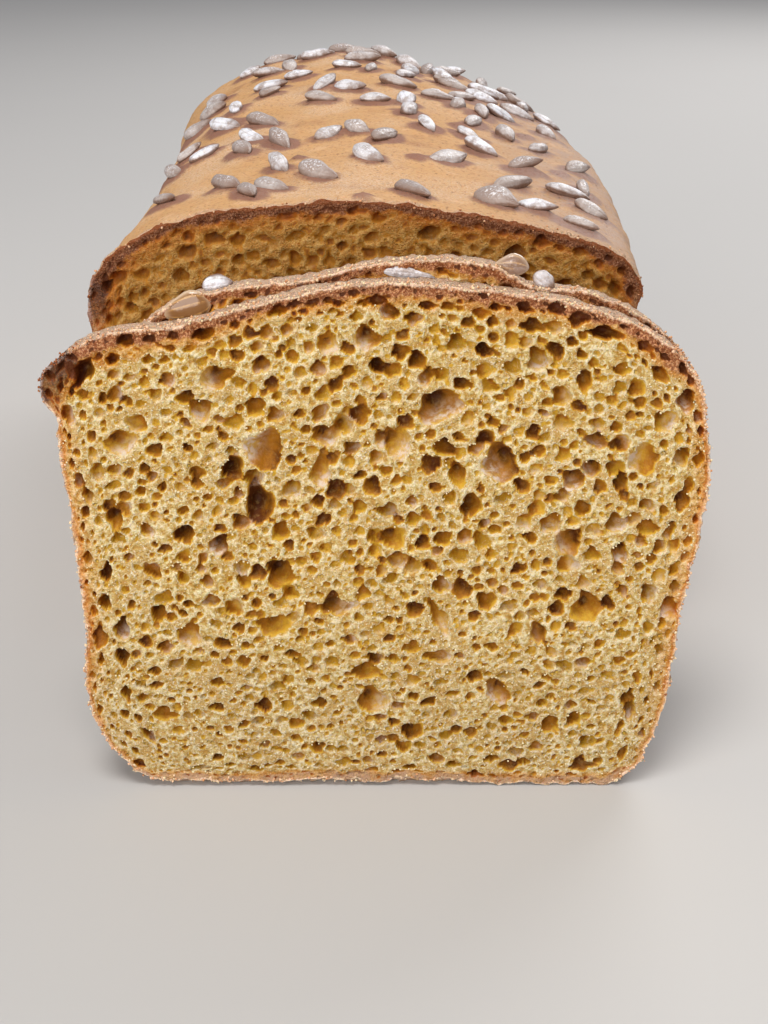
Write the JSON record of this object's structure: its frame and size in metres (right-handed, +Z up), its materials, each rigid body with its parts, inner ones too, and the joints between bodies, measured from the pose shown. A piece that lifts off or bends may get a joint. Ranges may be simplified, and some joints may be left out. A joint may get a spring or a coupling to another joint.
{
  "type": "spelt bread",
  "caption": "Tin loaf of spelt bread with a domed, seeded crust, cut at one end, with thin slices standing upright in front of the cut.",
  "frame": {"origin": "on the ground, under the middle of the whole bread", "axes": "+Y along the loaf, from the front slice to the uncut end; +X to the right as seen from the front slice; +Z up"},
  "size_m": [0.1208, 0.2714, 0.1074],
  "materials": {
    "crust": "matte",
    "crumb": "matte"
  },
  "bodies": {
    "root": {"loaf": "crust", "slice_front": "crumb", "slice_second": "crumb"}
  },
  "joints": []
}
